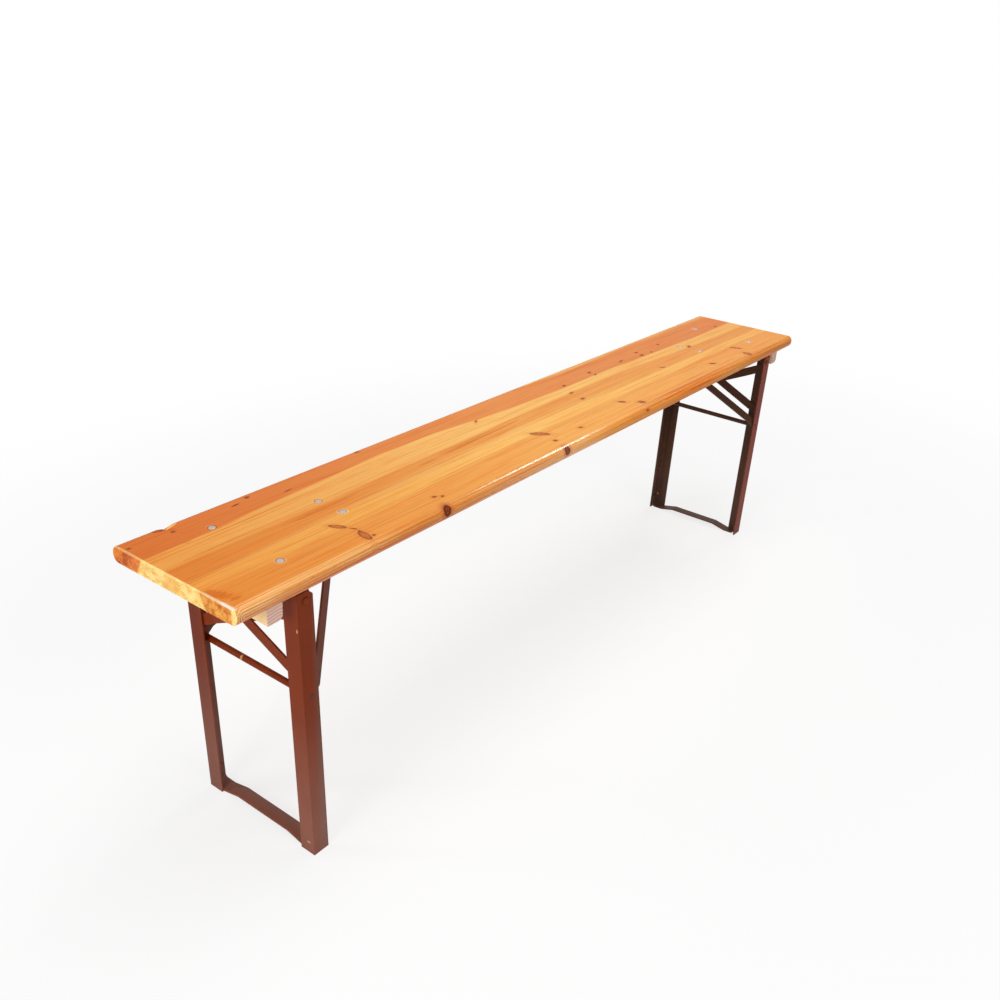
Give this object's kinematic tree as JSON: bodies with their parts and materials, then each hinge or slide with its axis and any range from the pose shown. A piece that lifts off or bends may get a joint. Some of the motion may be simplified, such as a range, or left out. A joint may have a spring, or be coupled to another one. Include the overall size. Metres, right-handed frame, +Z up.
{
  "type": "folding bench",
  "caption": "Folding bench: a long varnished board of glued timber on two angle-steel end frames that fold flat beneath it, each held upright by a V-shaped stay.",
  "frame": {"origin": "on the floor under the middle of the board", "axes": "+X along the bench to its right end as seen from the front, +Y to the back, +Z up"},
  "size_m": [1.65, 0.25, 0.4754],
  "materials": {
    "varnished_wood": "glossy amber varnish over knotty softwood",
    "raw_wood": "planed, not varnished",
    "brown_paint": "semi-gloss brown paint, chipped in places",
    "zinc_plated_steel": "dull zinc plating",
    "spring_steel": "bare spring steel"
  },
  "bodies": {
    "seat": {"batten_left": "raw_wood", "batten_right": "raw_wood", "batten_screw_left_back": "zinc_plated_steel", "batten_screw_left_front": "zinc_plated_steel", "batten_screw_right_back": "zinc_plated_steel", "batten_screw_right_front": "zinc_plated_steel", "catch_bracket_left": "brown_paint", "catch_bracket_right": "brown_paint", "catch_rivet_left_back": "zinc_plated_steel", "catch_rivet_left_front": "zinc_plated_steel", "catch_rivet_right_back": "zinc_plated_steel", "catch_rivet_right_front": "zinc_plated_steel", "catch_spring_left": "spring_steel", "catch_spring_right": "spring_steel", "hinge_rivet_back_left": "brown_paint", "hinge_rivet_back_right": "brown_paint", "hinge_rivet_front_left": "brown_paint", "hinge_rivet_front_right": "brown_paint", "hinge_strap_left": "brown_paint", "hinge_strap_right": "brown_paint", "seat_stave_1": "varnished_wood", "seat_stave_2": "varnished_wood", "seat_stave_3": "varnished_wood", "seat_stave_4": "varnished_wood", "seat_stave_5": "varnished_wood", "strap_bolt_left_back": "zinc_plated_steel", "strap_bolt_left_front": "zinc_plated_steel", "strap_bolt_right_back": "zinc_plated_steel", "strap_bolt_right_front": "zinc_plated_steel", "strap_nut_left_back": "zinc_plated_steel", "strap_nut_left_front": "zinc_plated_steel", "strap_nut_right_back": "zinc_plated_steel", "strap_nut_right_front": "zinc_plated_steel"},
    "frame_left": {"brace_inner_left": "brown_paint", "brace_outer_left": "brown_paint", "brace_rivet_left": "brown_paint", "cross_rod_left": "brown_paint", "foot_strip_left": "brown_paint", "leg_back_left": "brown_paint", "leg_front_left": "brown_paint"},
    "stay_left": {"stay_arm_back_left": "brown_paint", "stay_arm_front_left": "brown_paint", "stay_tip_pin_left": "brown_paint"},
    "frame_right": {"brace_inner_right": "brown_paint", "brace_outer_right": "brown_paint", "brace_rivet_right": "brown_paint", "cross_rod_right": "brown_paint", "foot_strip_right": "brown_paint", "leg_back_right": "brown_paint", "leg_front_right": "brown_paint"},
    "stay_right": {"stay_arm_back_right": "brown_paint", "stay_arm_front_right": "brown_paint", "stay_tip_pin_right": "brown_paint"}
  },
  "joints": [
    {"name": "fold_left", "type": "hinge", "parent": "seat", "child": "frame_left", "pos_m": [-0.7094, 0, 0.4355], "axis": [0, -1, 0], "range_deg": [0, 88]},
    {"name": "stay_fold_left", "type": "hinge", "parent": "frame_left", "child": "stay_left", "pos_m": [-0.70431, 0, 0.28208], "axis": [0, -1, 0], "range_deg": [-132.7, 0]},
    {"name": "fold_right", "type": "hinge", "parent": "seat", "child": "frame_right", "pos_m": [0.7094, 0, 0.4355], "axis": [0, 1, 0], "range_deg": [0, 88]},
    {"name": "stay_fold_right", "type": "hinge", "parent": "frame_right", "child": "stay_right", "pos_m": [0.70431, 0, 0.28208], "axis": [0, 1, 0], "range_deg": [-132.7, 0]}
  ],
  "couplings": [
    {"joint": "stay_fold_left", "follows": "fold_left", "ratio": -1.4961},
    {"joint": "stay_fold_right", "follows": "fold_right", "ratio": -1.4961}
  ]
}
